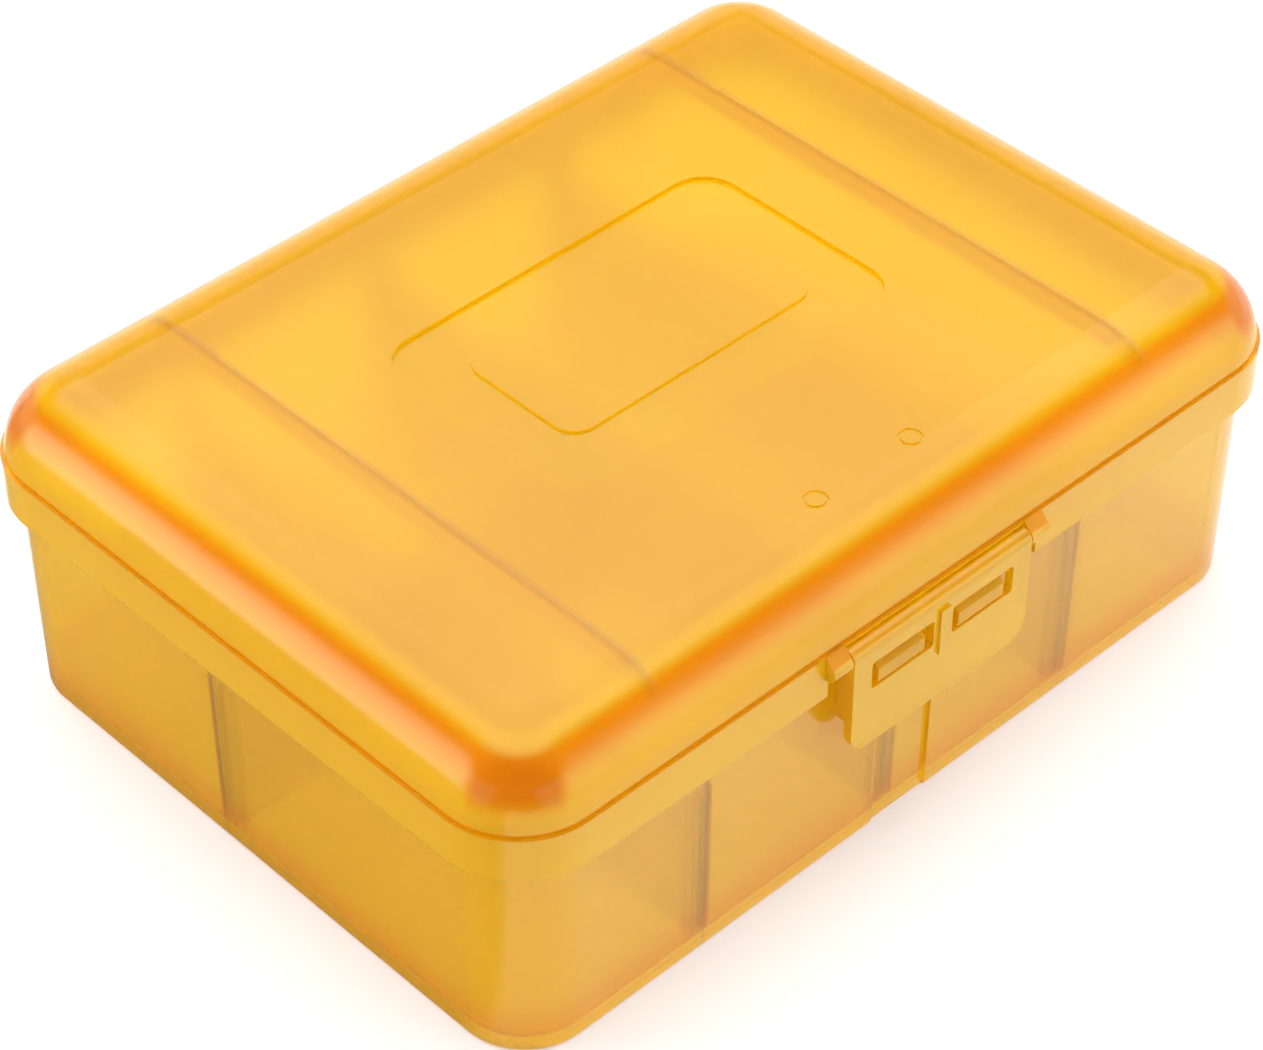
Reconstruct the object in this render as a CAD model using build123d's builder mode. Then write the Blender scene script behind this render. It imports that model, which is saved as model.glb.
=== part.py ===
import os
from math import cos, radians, sin, tan

from build123d import *

# Translucent storage case: base, lid on two rear hinges, front snap latch, loose dividers.
# Origin at the centre of the base's underside, +X right, -Y front (latch side), +Z up. Millimetres.

# Overall sizes, over the lid's skirt
case_length = 200.0
case_width = 148.6
case_height = 71.2
corner_radius = 17.0

# Lid
lid_rise = 14.5
skirt_depth = 10.6
seam_step = 0.6
seam_groove_depth = 0.8
seam_groove_height = 0.5
skirt_wall = 1.6
skirt_edge_round = 0.5
lid_wall = 1.9
lid_top_wall = 2.0
shoulder_margin = 0.4
shoulder_overlap = 1.5
lid_rib_offset = 62.0
lid_rib_thickness = 1.4
lid_rib_depth = 4.0

# Base
rim_drop = 0.6
rim_clearance = 0.35
rim_flange_reach = 0.6
rim_flange_thickness = 2.2
base_wall = 1.8
base_floor = 1.8
wall_draft = 0.7
base_edge_round = 1.0
floor_corner_round = 2.0
lid_seat_gap = 0.2
tab_length = 65.0
tab_rise = 3.8
tab_setback = 1.2
tab_thickness = 1.4
tab_foot = 5.0
tab_corner_round = 1.6
recess_centre = -2.7
recess_width = 14.4
recess_depth = 0.8
recess_overlap = 3.4

# Label panel and moulding marks on the lid's top
label_length = 84.0
label_width = 52.0
label_corner = 8.0
label_depth = 0.8
plate_length = 62.0
plate_width = 30.0
plate_corner = 5.0
plate_rise = 0.5
mark_spacing = 24.0
mark_edge_distance = 18.3
mark_diameter = 4.8
mark_line = 0.6
mark_depth = 0.35
cut_margin = 1.0

# Latch, with heights counted down from its axis
latch_length = 45.6
latch_proud = 2.4
latch_axis_drop = 3.7
latch_barrel_radius = 2.1
latch_plate_thickness = 1.8
latch_reach = 22.4
latch_corner = 4.5
cheek_thickness = 1.2
cheek_depth = 1.9
cheek_reach = 15.0
window_inner = 2.4
window_outer = 18.2
window_low_reach = 9.0
window_high_reach = 2.8
window_corner = 0.8
centre_rib_width = 2.6
centre_rib_rise = 0.6
centre_rib_reach = 11.5
centre_rib_drop = 1.2
journal_radius = 1.1
journal_length = 2.5
journal_clearance = 0.06
latch_side_gap = 0.3
ear_thickness = 3.7
ear_slope_angle = 139.0
notch_clearance = 0.5
web_gap = 0.5
hook_side_clearance = 2.0
hook_gap = 0.35
hook_face_height = 2.9
hook_slope_height = 5.0
hook_recess = 0.3

# Rear hinges
hinge_spacing = 116.0
hinge_gap = 0.4
hinge_axis_rise = 1.9
knuckle_radius = 3.0
lid_knuckle_width = 12.0
base_knuckle_width = 6.0
knuckle_gap = 0.3
hinge_pin_radius = 1.25
pin_running_clearance = 0.06
pin_held_clearance = 0.02
lid_arm_rise = 6.0
lid_arm_low_angle = -107.0
lid_arm_high_angle = 55.0
base_arm_drop = 10.0
base_arm_angle = -50.0
arm_gap = 0.3

# Dividers and their rails
compartment_count = 4
divider_shift = -5.6
divider_thickness = 1.4
tall_divider_drop = 9.1
low_divider_share = 0.65
rail_width = 1.2
rail_depth = 2.4
rail_extra = 3.0
slot_clearance = 0.25
divider_end_gap = 0.4
divider_floor_gap = 0.25
divider_edge_round = 0.5
long_divider_y = 8.0
lap_clearance = 0.3
guide_depth = 1.5
guide_width = 1.0

# Worked-out places
half_length = case_length / 2
half_width = case_width / 2
seam_height = case_height - lid_rise
skirt_bottom = seam_height - skirt_depth
shoulder_radius = min(corner_radius - seam_step - shoulder_margin, lid_rise + shoulder_overlap)
rim_height = seam_height - rim_drop
base_inset = skirt_wall + rim_clearance + rim_flange_reach
flange_inset = skirt_wall + rim_clearance
ledge_height = rim_height + lid_seat_gap
mark_y = mark_edge_distance - half_width
latch_face = -half_width - latch_proud
latch_axis_y = latch_face + latch_barrel_radius
latch_axis_height = seam_height - latch_axis_drop
window_bottom = latch_axis_height - window_low_reach
window_top = latch_axis_height - window_high_reach
ear_inner = latch_length / 2 + latch_side_gap
ear_outer = ear_inner + ear_thickness
notch_top = latch_axis_height + latch_barrel_radius + web_gap
flange_notch = 2 * (ear_outer + notch_clearance)
hinge_y = half_width + hinge_gap + knuckle_radius
hinge_axis_height = skirt_bottom + hinge_axis_rise
hinge_side = hinge_spacing / 2
pin_length = lid_knuckle_width + 2 * (base_knuckle_width + knuckle_gap)
slot_width = divider_thickness + 2 * slot_clearance
rail_spread = slot_width / 2 + rail_width / 2
tall_divider_top = rim_height - tall_divider_drop
low_divider_top = rim_height * low_divider_share
tall_rail_top = tall_divider_top + rail_extra
low_rail_top = low_divider_top + rail_extra


# Inset of the base's outer wall at a height, with the moulding draft
def wall_inset(height):
    return base_inset + (rim_height - height) * tan(radians(wall_draft))


# Half sizes of the base's hollow at floor level, its narrowest
hollow_half_length = half_length - wall_inset(base_floor) - base_wall
hollow_half_width = half_width - wall_inset(base_floor) - base_wall
compartment_pitch = 2 * hollow_half_length / compartment_count
left_divider_x = divider_shift - compartment_pitch
right_divider_x = divider_shift + compartment_pitch


# Rounded rectangle set in from the skirt's outline, drawn in the sketch that calls it
def outline(inset, mode=Mode.ADD):
    RectangleRounded(
        case_length - 2 * inset, case_width - 2 * inset, corner_radius - inset, mode=mode
    )


# Point on the outside of a hinge knuckle, in the plane across the hinge
def knuckle_point(angle):
    return (
        hinge_y + knuckle_radius * cos(radians(angle)),
        hinge_axis_height + knuckle_radius * sin(radians(angle)),
    )


# Box by its lowest and highest corners, made in the part that calls it
def block(low, high, mode=Mode.ADD):
    centre = tuple((a + b) / 2 for a, b in zip(low, high))
    size = tuple(b - a for a, b in zip(low, high))
    with Locations(centre):
        Box(*size, mode=mode)


# Hollow of the base, less the divider rails that stay standing in it
with BuildPart() as base_hollow:
    with BuildSketch(Plane.XY.offset(base_floor)):
        outline(wall_inset(base_floor) + base_wall)
    with BuildSketch(Plane.XY.offset(rim_height)):
        outline(base_inset + base_wall)
    loft(ruled=True)
    fillet(base_hollow.faces().sort_by(Axis.Z)[0].edges(), floor_corner_round)
    for divider_x, rail_top in (
        (left_divider_x, low_rail_top),
        (divider_shift, tall_rail_top),
        (right_divider_x, tall_rail_top),
    ):
        for end in (-1, 1):
            for side in (-1, 1):
                rail_x = divider_x + side * rail_spread
                inner = end * (hollow_half_width - rail_depth)
                outer = end * half_width
                block(
                    (rail_x - rail_width / 2, min(inner, outer), 0),
                    (rail_x + rail_width / 2, max(inner, outer), rail_top),
                    mode=Mode.SUBTRACT,
                )
    for side in (-1, 1):
        rail_y = long_divider_y + side * rail_spread
        block(
            (-half_length, rail_y - rail_width / 2, 0),
            (rail_depth - hollow_half_length, rail_y + rail_width / 2, low_rail_top),
            mode=Mode.SUBTRACT,
        )

# Base shell
with BuildPart() as base_shell:
    with BuildSketch(Plane.XY):
        outline(wall_inset(0))
    with BuildSketch(Plane.XY.offset(rim_height)):
        outline(base_inset)
    loft(ruled=True)
    fillet(base_shell.faces().sort_by(Axis.Z)[0].edges(), base_edge_round)

    # Rim flange under the lid's skirt, open behind the latch
    with BuildSketch(Plane.XY.offset(rim_height - rim_flange_thickness)):
        outline(flange_inset)
    extrude(amount=rim_flange_thickness)
    block(
        (-flange_notch / 2, -half_width, rim_height - rim_flange_thickness),
        (flange_notch / 2, base_inset - half_width, rim_height),
        mode=Mode.SUBTRACT,
    )

    # Shallow finger recess in the front, from the bottom edge to behind the latch
    recess_top = latch_axis_height - latch_reach + recess_overlap
    recess_foot = wall_inset(0) + recess_depth - half_width
    recess_head = wall_inset(recess_top) + recess_depth - half_width
    with BuildSketch(Plane.YZ.offset(recess_centre - recess_width / 2)):
        Polygon(
            (-half_width, 0),
            (recess_foot, 0),
            (recess_head, recess_top),
            (-half_width, recess_top),
            align=None,
        )
    extrude(amount=recess_width, mode=Mode.SUBTRACT)

    # Two latch hooks with a sloped top
    hook_root = base_inset + base_wall / 2 - half_width
    hook_nose = latch_face + hook_recess
    hook_low = window_bottom + hook_gap
    hook_high = hook_low + hook_face_height
    hook_length = window_outer - window_inner - 2 * hook_side_clearance
    for side in (-1, 1):
        hook_centre = side * (window_inner + window_outer) / 2
        with BuildSketch(Plane.YZ.offset(hook_centre - hook_length / 2)):
            Polygon(
                (hook_root, hook_low),
                (hook_nose, hook_low),
                (hook_nose, hook_high),
                (hook_root, hook_high + hook_slope_height),
                align=None,
            )
        extrude(amount=hook_length)

    # Two fixed hinge knuckles on each side, on arms that pass under the skirt
    arm_top = skirt_bottom - arm_gap
    arm_root = half_width - base_inset - base_wall / 2
    for side in (-1, 1):
        for end in (-1, 1):
            reach = lid_knuckle_width / 2 + knuckle_gap + base_knuckle_width / 2
            knuckle_x = side * hinge_side + end * reach
            with BuildSketch(Plane.YZ.offset(knuckle_x - base_knuckle_width / 2)):
                with Locations((hinge_y, hinge_axis_height)):
                    Circle(knuckle_radius)
                Polygon(
                    (arm_root, hinge_axis_height - base_arm_drop),
                    knuckle_point(base_arm_angle),
                    (hinge_y, arm_top),
                    (arm_root, arm_top),
                    align=None,
                )
            extrude(amount=base_knuckle_width)
            with BuildSketch(Plane.YZ.offset(knuckle_x - base_knuckle_width / 2)):
                with Locations((hinge_y, hinge_axis_height)):
                    Circle(hinge_pin_radius + pin_held_clearance)
            extrude(amount=base_knuckle_width, mode=Mode.SUBTRACT)

    add(base_hollow.part, mode=Mode.SUBTRACT)

    # Locating tabs inside the rim that stand up into the lid, one on each side
    for plane, half_size in ((Plane.XZ, half_width), (Plane.YZ, half_length)):
        tab_outer = half_size - base_inset - tab_setback
        for tab_start in (-tab_outer, tab_outer - tab_thickness):
            with BuildSketch(plane.offset(tab_start)):
                with Locations((0, rim_height + (tab_rise - tab_foot) / 2)):
                    Rectangle(tab_length, tab_rise + tab_foot)
                fillet(vertices().group_by(Axis.Y)[-1], tab_corner_round)
            extrude(amount=tab_thickness)

# Hollow of the lid, less the two ribs that stay standing under its top
with BuildPart() as lid_hollow:
    upper_inset = seam_step + lid_wall
    upper_radius = shoulder_radius - lid_wall
    with BuildSketch(Plane.XY.offset(skirt_bottom)):
        outline(upper_inset)
    extrude(amount=case_height - lid_top_wall - skirt_bottom)
    fillet(lid_hollow.faces().sort_by(Axis.Z)[-1].edges(), upper_radius)
    with BuildSketch(Plane.XY.offset(skirt_bottom - cut_margin)):
        outline(skirt_wall)
    extrude(amount=ledge_height - skirt_bottom + cut_margin)
    for side in (-1, 1):
        rib_low = case_height - lid_top_wall - lid_rib_depth
        block(
            (side * lid_rib_offset - lid_rib_thickness / 2, -half_width, rib_low),
            (side * lid_rib_offset + lid_rib_thickness / 2, half_width, case_height),
            mode=Mode.SUBTRACT,
        )

# Lid shell
with BuildPart() as lid_shell:
    with BuildSketch(Plane.XY.offset(skirt_bottom)):
        outline(seam_step)
    extrude(amount=case_height - skirt_bottom)
    fillet(lid_shell.faces().sort_by(Axis.Z)[-1].edges(), shoulder_radius)
    with BuildSketch(Plane.XY.offset(skirt_bottom)):
        outline(0)
    extrude(amount=seam_height - skirt_bottom)
    fillet(lid_shell.faces().sort_by(Axis.Z)[0].edges(), skirt_edge_round)

    # Fine groove at the seam
    with BuildSketch(Plane.XY.offset(seam_height - seam_groove_height)):
        outline(0)
        outline(seam_groove_depth, mode=Mode.SUBTRACT)
    extrude(amount=seam_groove_height, mode=Mode.SUBTRACT)

    # Label panel in the top, with a raised plate, and two round moulding marks
    with BuildSketch(Plane.XY.offset(case_height - label_depth)):
        RectangleRounded(label_length, label_width, label_corner)
    extrude(amount=label_depth, mode=Mode.SUBTRACT)
    with BuildSketch(Plane.XY.offset(case_height - label_depth)):
        RectangleRounded(plate_length, plate_width, plate_corner)
    extrude(amount=plate_rise)
    with BuildSketch(Plane.XY.offset(case_height - mark_depth)):
        with Locations((-mark_spacing / 2, mark_y), (mark_spacing / 2, mark_y)):
            Circle(mark_diameter / 2)
            Circle(mark_diameter / 2 - mark_line, mode=Mode.SUBTRACT)
    extrude(amount=mark_depth, mode=Mode.SUBTRACT)

    # Moving hinge knuckles
    for side in (-1, 1):
        with BuildSketch(Plane.YZ.offset(side * hinge_side - lid_knuckle_width / 2)):
            with Locations((hinge_y, hinge_axis_height)):
                Circle(knuckle_radius)
            Polygon(
                (half_width - skirt_wall / 2, skirt_bottom),
                knuckle_point(lid_arm_low_angle),
                knuckle_point(lid_arm_high_angle),
                (half_width - skirt_wall / 2, hinge_axis_height + lid_arm_rise),
                align=None,
            )
        extrude(amount=lid_knuckle_width)
        with BuildSketch(Plane.YZ.offset(side * hinge_side - lid_knuckle_width / 2)):
            with Locations((hinge_y, hinge_axis_height)):
                Circle(hinge_pin_radius + pin_running_clearance)
        extrude(amount=lid_knuckle_width, mode=Mode.SUBTRACT)

    add(lid_hollow.part, mode=Mode.SUBTRACT)

    # Notch in the skirt for the latch
    block(
        (-ear_outer, -half_width - cut_margin, skirt_bottom - cut_margin),
        (ear_outer, flange_inset - half_width, notch_top),
        mode=Mode.SUBTRACT,
    )

    # Ears at the notch's ends, with blind sockets for the latch's journals
    for side in (-1, 1):
        ear_low_x = min(side * ear_inner, side * (ear_outer + skirt_wall / 2))
        ear_width = ear_thickness + skirt_wall / 2
        with BuildSketch(Plane.YZ.offset(ear_low_x)):
            with Locations((latch_axis_y, latch_axis_height)):
                Circle(latch_barrel_radius)
            ear_back = skirt_wall - half_width
            Polygon(
                (latch_axis_y, latch_axis_height - latch_barrel_radius),
                (ear_back, latch_axis_height - latch_barrel_radius),
                (ear_back, seam_height - seam_groove_height),
                (-half_width, seam_height - seam_groove_height),
                (
                    latch_axis_y + latch_barrel_radius * cos(radians(ear_slope_angle)),
                    latch_axis_height + latch_barrel_radius * sin(radians(ear_slope_angle)),
                ),
                align=None,
            )
        extrude(amount=ear_width)
        socket_depth = journal_length + latch_side_gap
        socket_low_x = min(side * ear_inner, side * (ear_inner + socket_depth))
        with BuildSketch(Plane.YZ.offset(socket_low_x)):
            with Locations((latch_axis_y, latch_axis_height)):
                Circle(journal_radius + journal_clearance)
        extrude(amount=socket_depth, mode=Mode.SUBTRACT)

# Latch: plate with two windows, barrel, end cheeks and stub journals
with BuildPart() as latch_clip:
    with BuildSketch(Plane.XZ.offset(-latch_face)):
        with Locations((0, latch_axis_height - latch_reach / 2)):
            Rectangle(latch_length, latch_reach)
        fillet(vertices().group_by(Axis.Y)[0], latch_corner)
        window_centre = (window_inner + window_outer) / 2
        window_middle = (window_bottom + window_top) / 2
        with Locations((-window_centre, window_middle), (window_centre, window_middle)):
            RectangleRounded(
                window_outer - window_inner,
                window_top - window_bottom,
                window_corner,
                mode=Mode.SUBTRACT,
            )
    extrude(amount=-latch_plate_thickness)
    with BuildSketch(Plane.YZ.offset(-latch_length / 2)):
        with Locations((latch_axis_y, latch_axis_height)):
            Circle(latch_barrel_radius)
    extrude(amount=latch_length)
    block(
        (
            -centre_rib_width / 2,
            latch_face - centre_rib_rise,
            latch_axis_height - centre_rib_reach,
        ),
        (
            centre_rib_width / 2,
            latch_face + latch_plate_thickness,
            latch_axis_height - centre_rib_drop,
        ),
    )
    for side in (-1, 1):
        cheek_low_x = min(side * latch_length / 2, side * (latch_length / 2 - cheek_thickness))
        block(
            (cheek_low_x, latch_face, latch_axis_height - cheek_reach),
            (
                cheek_low_x + cheek_thickness,
                latch_face + latch_plate_thickness + cheek_depth,
                latch_axis_height,
            ),
        )
        journal_low_x = min(side * latch_length / 2, side * (latch_length / 2 + journal_length))
        with BuildSketch(Plane.YZ.offset(journal_low_x)):
            with Locations((latch_axis_y, latch_axis_height)):
                Circle(journal_radius)
        extrude(amount=journal_length)


# Rod of one rear hinge
def hinge_pin(side):
    with BuildPart() as pin:
        with BuildSketch(Plane.YZ.offset(side * hinge_side - pin_length / 2)):
            with Locations((hinge_y, hinge_axis_height)):
                Circle(hinge_pin_radius)
        extrude(amount=pin_length)
    return pin


hinge_pin_left = hinge_pin(-1)
hinge_pin_right = hinge_pin(1)

# Dividers run front to back between the rails, and clear the floor's rounded corner
divider_bottom = base_floor + divider_floor_gap
divider_half_width = hollow_half_width - divider_end_gap
lap_height = (divider_bottom + low_divider_top) / 2
lap_width = divider_thickness + 2 * lap_clearance


def cross_divider(divider_x, top):
    with BuildPart() as divider:
        with BuildSketch(Plane.YZ.offset(divider_x - divider_thickness / 2)):
            with Locations((0, (divider_bottom + top) / 2)):
                Rectangle(2 * divider_half_width, top - divider_bottom)
            chamfer(vertices().group_by(Axis.Y)[0], floor_corner_round)
            fillet(vertices().group_by(Axis.Y)[-1], divider_edge_round)
        extrude(amount=divider_thickness)
    return divider


cross_divider_right = cross_divider(right_divider_x, tall_divider_top)

# Middle divider, with two guide ribs for the long divider's end
guide_face = divider_shift - divider_thickness / 2
with BuildPart() as cross_divider_centre:
    add(cross_divider(divider_shift, tall_divider_top).part)
    for side in (-1, 1):
        guide_y = long_divider_y + side * (slot_width / 2 + guide_width / 2)
        block(
            (guide_face - guide_depth, guide_y - guide_width / 2, divider_bottom),
            (guide_face, guide_y + guide_width / 2, low_divider_top),
        )

# Left divider, slotted from its top for the long divider
with BuildPart() as cross_divider_left:
    add(cross_divider(left_divider_x, low_divider_top).part)
    block(
        (-half_length, long_divider_y - lap_width / 2, lap_height),
        (divider_shift, long_divider_y + lap_width / 2, case_height),
        mode=Mode.SUBTRACT,
    )

# Long divider, slotted from its bottom over the left divider
with BuildPart() as long_divider:
    long_left = divider_end_gap - hollow_half_length
    long_right = guide_face - divider_end_gap
    with BuildSketch(Plane.XZ.offset(-long_divider_y - divider_thickness / 2)):
        with Locations(((long_left + long_right) / 2, (divider_bottom + low_divider_top) / 2)):
            Rectangle(long_right - long_left, low_divider_top - divider_bottom)
        chamfer(vertices().group_by(Axis.Y)[0].sort_by(Axis.X)[0], floor_corner_round)
        fillet(vertices().group_by(Axis.Y)[-1], divider_edge_round)
    extrude(amount=divider_thickness)
    block(
        (left_divider_x - lap_width / 2, -half_width, 0),
        (left_divider_x + lap_width / 2, half_width, lap_height + lap_clearance),
        mode=Mode.SUBTRACT,
    )

os.makedirs("parts", exist_ok=True)
base_shell.part.label = "base_shell"
export_step(base_shell.part, "parts/base_shell.step")
lid_shell.part.label = "lid_shell"
export_step(lid_shell.part, "parts/lid_shell.step")
latch_clip.part.label = "latch_clip"
export_step(latch_clip.part, "parts/latch_clip.step")
hinge_pin_left.part.label = "hinge_pin_left"
export_step(hinge_pin_left.part, "parts/hinge_pin_left.step")
hinge_pin_right.part.label = "hinge_pin_right"
export_step(hinge_pin_right.part, "parts/hinge_pin_right.step")
cross_divider_left.part.label = "cross_divider_left"
export_step(cross_divider_left.part, "parts/cross_divider_left.step")
cross_divider_centre.part.label = "cross_divider_centre"
export_step(cross_divider_centre.part, "parts/cross_divider_centre.step")
cross_divider_right.part.label = "cross_divider_right"
export_step(cross_divider_right.part, "parts/cross_divider_right.step")
long_divider.part.label = "long_divider"
export_step(long_divider.part, "parts/long_divider.step")
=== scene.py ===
import math

import bpy
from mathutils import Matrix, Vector


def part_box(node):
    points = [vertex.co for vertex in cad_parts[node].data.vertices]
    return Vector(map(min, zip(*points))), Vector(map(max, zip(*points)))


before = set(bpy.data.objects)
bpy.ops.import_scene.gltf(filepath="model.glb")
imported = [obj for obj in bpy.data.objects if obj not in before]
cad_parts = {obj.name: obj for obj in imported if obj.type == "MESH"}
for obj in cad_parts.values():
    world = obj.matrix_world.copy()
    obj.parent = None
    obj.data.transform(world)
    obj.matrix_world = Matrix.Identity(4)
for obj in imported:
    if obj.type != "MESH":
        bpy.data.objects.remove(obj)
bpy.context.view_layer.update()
print("frame loaded")


# shader maths: a socket that can be added, subtracted and multiplied
class Value:
    def __init__(self, maker, socket):
        self.maker = maker
        self.socket = socket

    def __add__(self, other):
        return self.maker.maths("ADD", self, other)

    def __radd__(self, other):
        return self.maker.maths("ADD", other, self)

    def __sub__(self, other):
        return self.maker.maths("SUBTRACT", self, other)

    def __rsub__(self, other):
        return self.maker.maths("SUBTRACT", other, self)

    def __mul__(self, other):
        return self.maker.maths("MULTIPLY", self, other)

    def __rmul__(self, other):
        return self.maker.maths("MULTIPLY", other, self)


# one node tree, its nodes made one at a time
class Maker:
    def __init__(self, tree):
        self.tree = tree
        self.tree.nodes.clear()

    # a socket is given by its name, or as i0, i1 and so on where names repeat
    def node(self, kind, settings=None, **sockets):
        made = self.tree.nodes.new(kind)
        for key, value in (settings or {}).items():
            setattr(made, key, value)
        for key, value in sockets.items():
            numbered = key[0] == "i" and key[1:].isdigit()
            self.feed(made.inputs[int(key[1:]) if numbered else key.replace("_", " ")], value)
        return made

    def feed(self, socket, value):
        if isinstance(value, Value):
            self.tree.links.new(value.socket, socket)
        elif isinstance(value, bpy.types.NodeSocket):
            self.tree.links.new(value, socket)
        else:
            socket.default_value = value

    def read(self, node, output):
        return Value(self, node.outputs[output])

    def maths(self, operation, a, b):
        return self.read(self.node("ShaderNodeMath", {"operation": operation}, i0=a, i1=b), 0)

    def place(self):
        return self.node("ShaderNodeTexCoord").outputs["Object"]

    # the three parts of a vector, such as the place on the piece or the way that it faces
    def parts(self, output):
        vector = self.node("ShaderNodeTexCoord").outputs[output]
        split = self.node("ShaderNodeSeparateXYZ", Vector=vector)
        return [self.read(split, axis) for axis in "XYZ"]

    # smooth rise from 0 at low to 1 at high
    def rise(self, value, low, high):
        settings = {"interpolation_type": "SMOOTHSTEP"}
        made = self.node("ShaderNodeMapRange", settings, Value=value, From_Min=low, From_Max=high)
        return self.read(made, 0)

    # smooth fall from 1 at low to 0 at high
    def fall(self, value, low, high):
        return 1 - self.rise(value, low, high)

    # 1 within a line's half width, fading out over its soft edge
    def stripe(self, value, line):
        off = self.maths("ABSOLUTE", value - line["at"], 0)
        return self.fall(off, line["half"], line["half"] + line["soft"])

    def noise(self, grain):
        kind = "ShaderNodeTexNoise"
        made = self.node(kind, Vector=self.place(), Scale=grain["scale"], Detail=grain["detail"])
        return self.read(made, 0)

    # a number that wanders a little to both sides of its own value, because noise is about 0.5
    def wander(self, number, grain):
        return number + grain["amount"] * (self.noise(grain) - 0.5)

    def blend(self, factor, first, second):
        made = self.node("ShaderNodeMix", {"data_type": "RGBA"}, Factor=factor)
        self.feed(made.inputs[6], first)
        self.feed(made.inputs[7], second)
        return made.outputs[2]

    def bump(self, grain, under=None):
        kept = {"Distance": grain["distance"], "Strength": grain["strength"]}
        made = self.node("ShaderNodeBump", Height=self.noise(grain), **kept)
        if under is not None:
            self.feed(made.inputs["Normal"], under)
        return made.outputs["Normal"]

    def layers(self, factor, under, over):
        return self.node("ShaderNodeMixShader", i0=factor, i1=under, i2=over).outputs[0]


def newMaterial(name):
    material = bpy.data.materials.new(name)
    material.use_nodes = True
    return material, Maker(material.node_tree)


# milky moulded plastic: a clear part that lets the inside show, and a cloudy part that catches the light
shellPlastic = {
    "clear": (1.0, 1.0, 0.9, 1.0),
    "cloudDeep": (1.0, 0.65, 0.0, 1.0),
    "cloudPale": (1.0, 0.75, 0.003, 1.0),
    "cloudThrough": (1.0, 0.69, 0.002, 1.0),
    "cloudShare": 0.36,
    "throughShare": 0.45,
    "roughness": 0.32,
    "refraction": 1.3,
    "specular": 0.0,
    "gloss": 0.85,
    "glossRoughness": 0.12,
    "inside": (1.0, 0.965, 0.0, 1.0),  # what is left of light that goes through, and how fast it is lost
    "density": 1300.0,
    # deeper colours, for thicker plastic and for painted shade
    "thickAndShaded": (1.0, 0.38, 0.0, 1.0),
    "thickCornerShade": (0.82, 0.24, 0.0, 1.0),
    "thickAndShadedClear": (1.0, 0.62, 0.1, 1.0),
    "lines": [],
    "clouding": {"scale": 26.0, "detail": 3.0},
    "wear": {"scale": 90.0, "detail": 4.0, "amount": 0.08},
    "fineSkin": {"scale": 2600.0, "detail": 2.0, "distance": 0.00002, "strength": 0.12},
    "waveSkin": {"scale": 45.0, "detail": 1.0, "distance": 0.0005, "strength": 0.1},
}

# a painted line of shade, greyer where what lies behind a wall or a top would show through
shadeLine = {"axis": 0, "tint": (0.55, 0.42, 0.25, 1.0)}

# the lid's shoulder has a band of painted shade, deepest at the corners, where it reflects no light, partly
# also the deeper colour of its thicker plastic; its flat top is less glossy than the rest, and its skirt is
# cloudier, with a painted line of shade along the seam step above it
lidPlastic = dict(shellPlastic)
lidPlastic["shoulder"] = {
    "depth": 0.85,
    "topFacing": (0.78, 0.88),
    "foot": 0.45,
    "cornerFoot": 0.22,
    "footSoft": 0.3,
    "cornerRange": (0.025, 0.25),
}
lidPlastic["satin"] = {"facing": (0.9, 0.98), "less": 0.4}
lidPlastic["round"] = {"facing": (0.9, 0.97), "cloudier": 0.25}
lidPlastic["skirt"] = {"heights": (0.058, 0.064), "lessThrough": 0.3, "depth": 0.22}
# a painted dark line of shade along the step at the seam
lidPlastic["seam"] = {"at": 0.05645, "half": 0.0003, "soft": 0.0004, "depth": 0.8}
ribShadeLine = dict(shadeLine, half=0.0003, soft=0.0007, depth=0.3, facing=(0.7, 0.95))
ribPlace = 0.062
lidPlastic["lines"] = [dict(ribShadeLine, at=side * ribPlace) for side in (-1, 1)]

# the base is deeper in colour at its foot, partly its thick floor seen edge-on and partly a painted
# reflection of the floor's shadow; it has painted grey shade where a pair of rails backs its wall, and a thin
# painted line of shade where a low divider ends behind the wall; the hooks behind the latch's windows are
# cloudier
basePlastic = dict(shellPlastic, cloudShare=0.32, roughness=0.24)
basePlastic["foot"] = {"heights": (0.001, 0.014), "depth": 0.65}
basePlastic["hook"] = {"backs": (-0.0733, -0.0727), "cloudier": 0.35}
# painted grey shade where a pair of rails stands behind the base's wall
railShadeLine = dict(shadeLine, half=0.0018, soft=0.0006, depth=0.18, until=[(2, 0.040, 0.043)])
railShift = {"cross_divider_centre": 0.0007, "cross_divider_right": 0.0}
# a thin painted line of shade where a low divider's edge stands behind the front or left wall
endLine = {"half": 0.0003, "soft": 0.0004, "depth": 0.6, "tint": (0.3, 0.22, 0.1, 1.0)}
endTop = (2, 0.044, 0.046)
frontWall = (1, -0.0695, -0.0685)
leftWall = (0, -0.0945, -0.0935)


def middle(node, axis):
    low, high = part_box(node)
    return (low[axis] + high[axis]) / 2


basePlastic["lines"] = [dict(railShadeLine, at=middle(node, 0) + shift) for node, shift in railShift.items()]
for node, axis, wall in (("cross_divider_left", 0, frontWall), ("long_divider", 1, leftWall)):
    basePlastic["lines"].append(dict(endLine, axis=axis, at=middle(node, axis), until=[wall, endTop]))

# the latch plate is cloudier, and its edges and window sides are deeper in colour: partly painted shade,
# partly its plastic's deeper colour seen edge-on
latchPlastic = dict(shellPlastic, cloudShare=0.55, throughShare=0.22)
latchPlastic["edge"] = {"facing": (-0.95, -0.7), "depth": 0.4}

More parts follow.
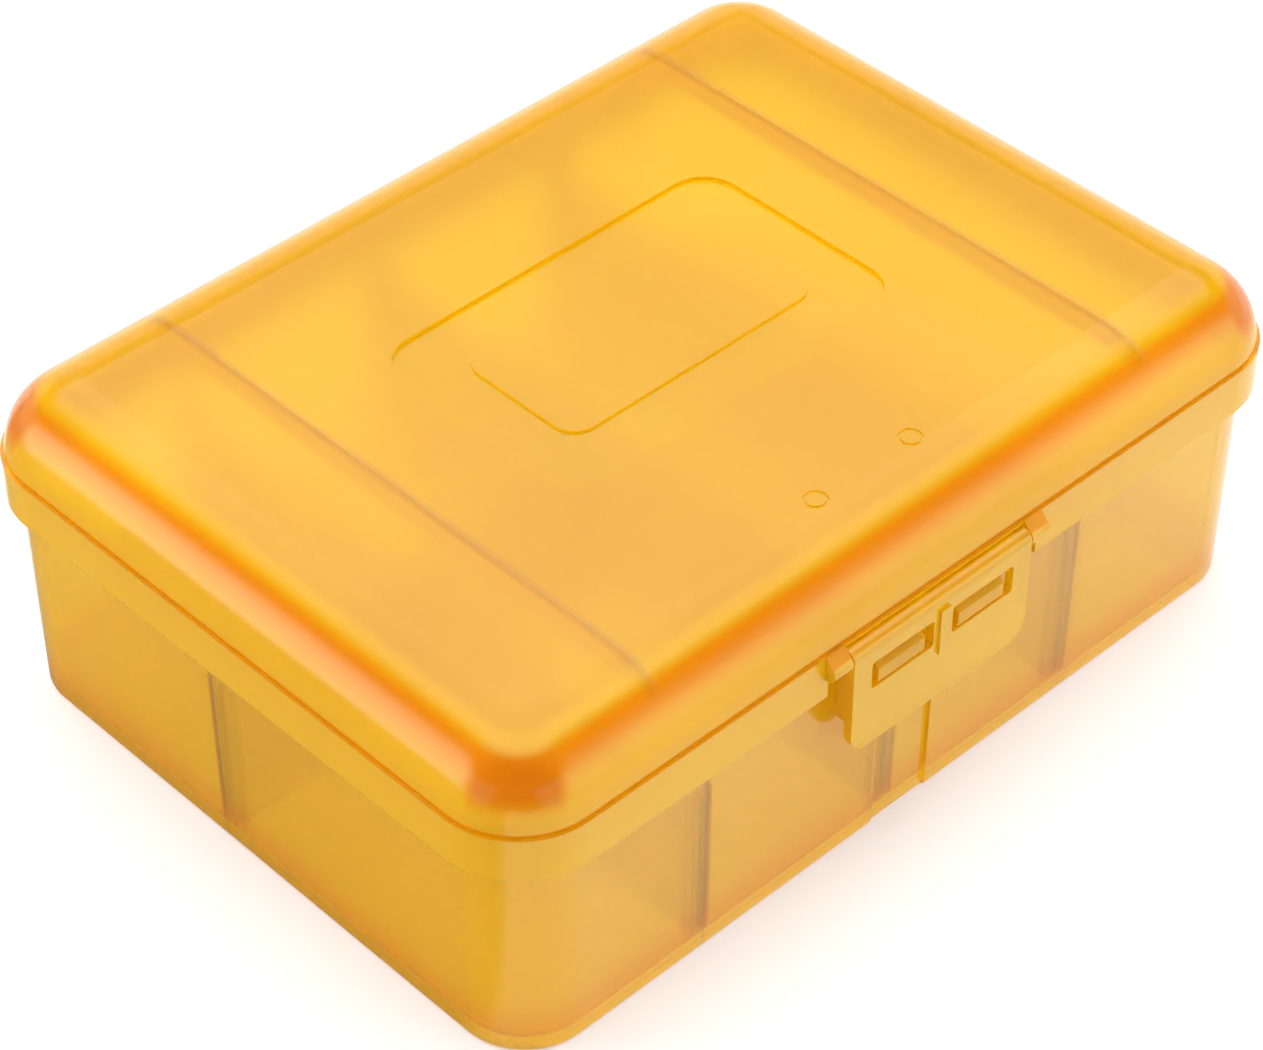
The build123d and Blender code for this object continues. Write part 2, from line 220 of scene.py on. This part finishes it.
# sheets cut from a paler plastic, darker at their ends
dividerPlastic = dict(shellPlastic, cloudShare=0.5, gloss=0.5, glossRoughness=0.2)
dividerPlastic.update(cloudDeep=(1.0, 0.74, 0.25, 1.0), cloudPale=(1.0, 0.8, 0.35, 1.0))
dividerPlastic.update(cloudThrough=(1.0, 0.77, 0.3, 1.0), inside=(0.85, 0.8, 0.6, 1.0), density=90.0)
sheetEnd = {"half": 0.0006, "soft": 0.0002, "depth": 1.0, "tint": (0.42, 0.32, 0.22, 1.0)}


def endLines(node, axis):
    return [dict(sheetEnd, axis=axis, at=end[axis]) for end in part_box(node)]


crossPlastic = dict(dividerPlastic, lines=endLines("cross_divider_right", 1))
longPlastic = dict(dividerPlastic, lines=endLines("long_divider", 0))


def milky(name, recipe):
    material, m = newMaterial(name)
    place = m.parts("Object")
    facing = m.parts("Normal")
    skin = m.bump(recipe["waveSkin"], m.bump(recipe["fineSkin"]))
    thickAndShaded = recipe["thickAndShaded"]
    translucent = "ShaderNodeBsdfTranslucent"

    # what each part below starts from: colours, shares and gloss
    cloud = m.blend(m.noise(recipe["clouding"]), recipe["cloudDeep"], recipe["cloudPale"])
    clear = recipe["clear"]
    through = m.node(translucent, Color=recipe["cloudThrough"], Normal=skin).outputs[0]
    cloudShare = recipe["cloudShare"]
    throughShare = recipe["throughShare"]
    gloss = recipe["gloss"]

    # painted shade: a deeper orange band on the lid's shoulder, deepest at the corners, partly the thicker
    # plastic's colour
    if "shoulder" in recipe:
        shoulder = recipe["shoulder"]
        atCorner = m.rise(m.maths("ABSOLUTE", facing[0] * facing[1], 0), *shoulder["cornerRange"])
        foot = shoulder["foot"] - (shoulder["foot"] - shoulder["cornerFoot"]) * atCorner
        belowTop = m.fall(facing[2], *shoulder["topFacing"])
        shoulderShadeMask = shoulder["depth"] * belowTop * m.rise(facing[2] - foot, 0.0, shoulder["footSoft"])
        cloud = m.blend(shoulderShadeMask, cloud, m.blend(atCorner, thickAndShaded, recipe["thickCornerShade"]))
        clear = m.blend(shoulderShadeMask, clear, recipe["thickAndShadedClear"])
        through = m.layers(shoulderShadeMask, through, m.node(translucent, Color=thickAndShaded, Normal=skin).outputs[0])
    # the lines: painted shade where ribs, rails and a low divider's edge stand behind a wall or a top, and
    # the dividers' darker ends
    for line in recipe["lines"]:
        mark = line["depth"] * m.stripe(place[line["axis"]], line)
        if "facing" in line:
            mark = mark * m.rise(facing[2], *line["facing"])
        for axis, low, high in line.get("until", []):
            mark = mark * m.fall(place[axis], low, high)
        cloud = m.blend(mark, cloud, line["tint"])
        clear = m.blend(mark, clear, line["tint"])
    # deeper foot: partly the thick floor, partly a painted reflection of the floor's shadow
    if "foot" in recipe:
        low = recipe["foot"]["depth"] * m.fall(place[2], *recipe["foot"]["heights"])
        cloud = m.blend(low, cloud, thickAndShaded)
        clear = m.blend(low, clear, recipe["thickAndShadedClear"])
    if "hook" in recipe:
        cloudShare = cloudShare + recipe["hook"]["cloudier"] * m.fall(place[1], *recipe["hook"]["backs"])
    # painted shade on the latch's faces turned from the front, partly the plastic's deeper colour
    if "edge" in recipe:
        cloud = m.blend(recipe["edge"]["depth"] * m.rise(facing[1], *recipe["edge"]["facing"]), cloud, thickAndShaded)
    if "round" in recipe:
        cloudShare = cloudShare + recipe["round"]["cloudier"] * m.fall(facing[2], *recipe["round"]["facing"])
    if "skirt" in recipe:
        low = m.fall(place[2], *recipe["skirt"]["heights"])
        throughShare = throughShare - recipe["skirt"]["lessThrough"] * low
        cloud = m.blend(recipe["skirt"]["depth"] * low, cloud, thickAndShaded)
    if "seam" in recipe:
        cloud = m.blend(recipe["seam"]["depth"] * m.stripe(place[2], recipe["seam"]), cloud, thickAndShaded)
    if "satin" in recipe:
        gloss = gloss - gloss * recipe["satin"]["less"] * m.rise(facing[2], *recipe["satin"]["facing"])

    principled = "ShaderNodeBsdfPrincipled"
    shared = {"Roughness": m.wander(recipe["roughness"], recipe["wear"]), "Normal": skin}
    shared.update({"Coat_Weight": gloss, "Coat_Roughness": recipe["glossRoughness"]})
    glassy = m.node(principled, Base_Color=clear, IOR=recipe["refraction"], Transmission_Weight=1.0, **shared)
    chalky = m.node(principled, Base_Color=cloud, Specular_IOR_Level=recipe["specular"], **shared)
    body = m.layers(throughShare, chalky.outputs[0], through)
    surface = m.layers(cloudShare, glassy.outputs[0], body)
    tint = m.node("ShaderNodeVolumeAbsorption", Color=recipe["inside"], Density=recipe["density"])
    m.node("ShaderNodeOutputMaterial", Surface=surface, Volume=tint.outputs[0])
    return material


# drawn steel rod
pinSteel = {
    "colour": (0.55, 0.55, 0.56, 1.0),
    "roughness": 0.32,
    "drawn": {"scale": 900.0, "detail": 2.0, "amount": 0.1, "distance": 0.00003, "strength": 0.3},
}


def steel(name, recipe):
    material, m = newMaterial(name)
    rod = m.node(
        "ShaderNodeBsdfPrincipled",
        Base_Color=recipe["colour"],
        Metallic=1.0,
        Roughness=m.wander(recipe["roughness"], recipe["drawn"]),
        Normal=m.bump(recipe["drawn"]),
    )
    m.node("ShaderNodeOutputMaterial", Surface=rod.outputs[0])
    return material


# each finish by how the names of its nodes start
finishes = {
    "lid_shell": milky("lid plastic", lidPlastic),
    "base_shell": milky("base plastic", basePlastic),
    "latch_clip": milky("latch plastic", latchPlastic),
    "cross_divider": milky("cross divider plastic", crossPlastic),
    "long_divider": milky("long divider plastic", longPlastic),
    "hinge_pin": steel("pin steel", pinSteel),
}

for start, material in finishes.items():
    for node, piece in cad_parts.items():
        if node.startswith(start):
            piece.data.materials.clear()
            piece.data.materials.append(material)
print("materials on")

# pale matt floor, lifted to white for what looks at it, most of all far from the case
white = (1.0, 1.0, 1.0, 1.0)
floorSetup = {
    "size": 6.0,
    "colour": (0.86, 0.86, 0.86, 1.0),
    "lift": 0.3,
    "farLift": 0.6,
    "farRange": (0.4, 1.6),
}

# a dark patch painted on the floor left of the case, which only gloss shows: a painted reflection of shade on
# the case's left side
glossShadePatch = {
    "corner": (-0.096, -0.066),
    "tilt": (-0.56, 0.83),
    "soft": 0.012,
    "colour": (0.1, 0.1, 0.1, 1.0),
    "depth": 0.8,
}
bpy.ops.object.select_all(action="DESELECT")
bpy.ops.mesh.primitive_plane_add(size=floorSetup["size"], location=(0, 0, 0))
floor = bpy.context.object
floor.name = "floor"
material, m = newMaterial("floor paint")
rays = m.node("ShaderNodeLightPath")
seen = m.maths("MAXIMUM", m.read(rays, "Is Camera Ray"), m.read(rays, "Is Glossy Ray"))
seen = m.maths("MAXIMUM", seen, m.read(rays, "Is Transmission Ray"))
mirrored = m.read(rays, "Is Glossy Ray") * (1 - m.read(rays, "Is Transmission Ray"))
matt = m.node("ShaderNodeBsdfDiffuse", Color=floorSetup["colour"])
away = m.read(m.node("ShaderNodeVectorMath", {"operation": "LENGTH"}, i0=m.place()), "Value")
lift = floorSetup["lift"] + floorSetup["farLift"] * m.rise(away, *floorSetup["farRange"])
glow = m.node("ShaderNodeEmission", Color=white, Strength=lift)
both = m.node("ShaderNodeAddShader", i0=matt.outputs[0], i1=glow.outputs[0])
lit = m.layers(seen, matt.outputs[0], both.outputs[0])

# the painted dark patch, seen only in reflections
across, along = m.parts("Object")[:2]
cornerX, cornerY = glossShadePatch["corner"]
soft = glossShadePatch["soft"]
beside = glossShadePatch["tilt"][0] * (across - cornerX) + glossShadePatch["tilt"][1] * (along - cornerY)
shade = m.rise(beside, 0, soft) * m.rise(cornerX + soft - across, 0, soft)
dark = m.node("ShaderNodeBsdfDiffuse", Color=glossShadePatch["colour"])
surface = m.layers(glossShadePatch["depth"] * shade * mirrored, lit, dark.outputs[0])
m.node("ShaderNodeOutputMaterial", Surface=surface)
floor.data.materials.append(material)

# surround: white to the eye and through the plastic; gloss shows a white wall under a dim room, a ceiling and
# two brighter places on the wall, and no wall behind the camera
surround = {
    "fill": 0.36,
    "lowFill": 0.5,
    "lowFillTop": 0.7,
    "seen": 1.0,
    "room": 0.06,
    "wallEdge": (20, 28),
    "glossTone": (0.84, 0.97, 1.0, 1.0),
}
glossPlaces = {
    "ceiling": {"azimuth": 50, "elevation": 76, "inner": 31, "outer": 45, "bright": 2.5},
    "leftGlow": {"azimuth": 146, "elevation": 15, "inner": 10, "outer": 22, "bright": 2.6},
    "frontGlow": {"azimuth": -57, "elevation": 14, "inner": 12, "outer": 26, "bright": 1.0},
}
behindCamera = {"azimuth": -137, "elevation": 0, "inner": 22, "outer": 36}


def heading(azimuth, elevation):
    turn, up = math.radians(azimuth), math.radians(elevation)
    return Vector((math.cos(turn) * math.cos(up), math.sin(turn) * math.cos(up), math.sin(up)))


scene = bpy.context.scene
world = scene.world or bpy.data.worlds.new("surround")
scene.world = world
world.use_nodes = True
m = Maker(world.node_tree)
rays = m.node("ShaderNodeLightPath")
through = m.read(rays, "Is Transmission Ray")
eye = m.maths("MAXIMUM", m.read(rays, "Is Camera Ray"), through)
mirrored = m.read(rays, "Is Glossy Ray") * (1 - through)
way = m.parts("Generated")


# 1 within a round place on the surround, fading out to its outer angle
def patch(place):
    towards = heading(place["azimuth"], place["elevation"])
    near = way[0] * towards[0] + way[1] * towards[1] + way[2] * towards[2]
    outer, inner = math.radians(place["outer"]), math.radians(place["inner"])
    return m.rise(near, math.cos(outer), math.cos(inner))


lowWall = m.fall(way[2], *[math.sin(math.radians(edge)) for edge in surround["wallEdge"]])
gloss = surround["room"] + surround["seen"] * lowWall * (1 - patch(behindCamera))
for place in glossPlaces.values():
    gloss = gloss + place["bright"] * patch(place)
fill = surround["fill"] + surround["lowFill"] * m.fall(way[2], 0, surround["lowFillTop"])
level = fill * (1 - eye) + surround["seen"] * eye
level = level * (1 - mirrored) + mirrored * gloss
tone = m.blend(mirrored, white, surround["glossTone"])
ground = m.node("ShaderNodeBackground", Color=tone, Strength=level)
m.node("ShaderNodeOutputWorld", Surface=ground.outputs[0])
print("floor and surround set")

# lamps, each by where it hangs as seen from the case: a wide round ceiling panel and two side panels
lamps = {
    "ceilingPanel": {"azimuth": 50, "elevation": 76, "size": (2.18, 2.18), "shape": "ELLIPSE", "bright": 2.0},
    "frontPanel": {"azimuth": -52, "elevation": 12, "size": (0.9, 0.44), "shape": "RECTANGLE", "bright": 2.6},
    "leftPanel": {"azimuth": 140, "elevation": 15, "size": (0.6, 0.56), "shape": "RECTANGLE", "bright": 4.7},
}
lampsAway = 1.3
shapeArea = {"ELLIPSE": math.pi / 4, "RECTANGLE": 1.0}  # as a share of width times height
for name, lamp in lamps.items():
    data = bpy.data.lights.new(name, "AREA")
    data.shape = lamp["shape"]
    data.size, data.size_y = lamp["size"]
    data.energy = lamp["bright"] * math.pi * data.size * data.size_y * shapeArea[lamp["shape"]]
    made = bpy.data.objects.new(name, data)
    made.visible_glossy = False
    away = heading(lamp["azimuth"], lamp["elevation"])
    made.location = away * lampsAway
    made.rotation_euler = (-away).to_track_quat("-Z", "Y").to_euler()
    scene.collection.objects.link(made)

# camera at the photograph's viewing angle
cameraSetup = {
    "at": (-0.37323, -0.38669, 0.50261),
    "azimuth": -43.80,
    "elevation": 41.83,
    "lens": 107.48,
    "sensor": 36.0,
    "nearest": 0.01,
}
lens = bpy.data.cameras.new("camera")
lens.lens = cameraSetup["lens"]
lens.sensor_width = cameraSetup["sensor"]
lens.clip_start = cameraSetup["nearest"]
camera = bpy.data.objects.new("camera", lens)
camera.location = cameraSetup["at"]
tilt = math.radians(90 - cameraSetup["elevation"])
camera.rotation_euler = (tilt, 0, math.radians(cameraSetup["azimuth"]))
scene.collection.objects.link(camera)
scene.camera = camera
scene.view_settings.view_transform = "Standard"
print("camera and lamps set")
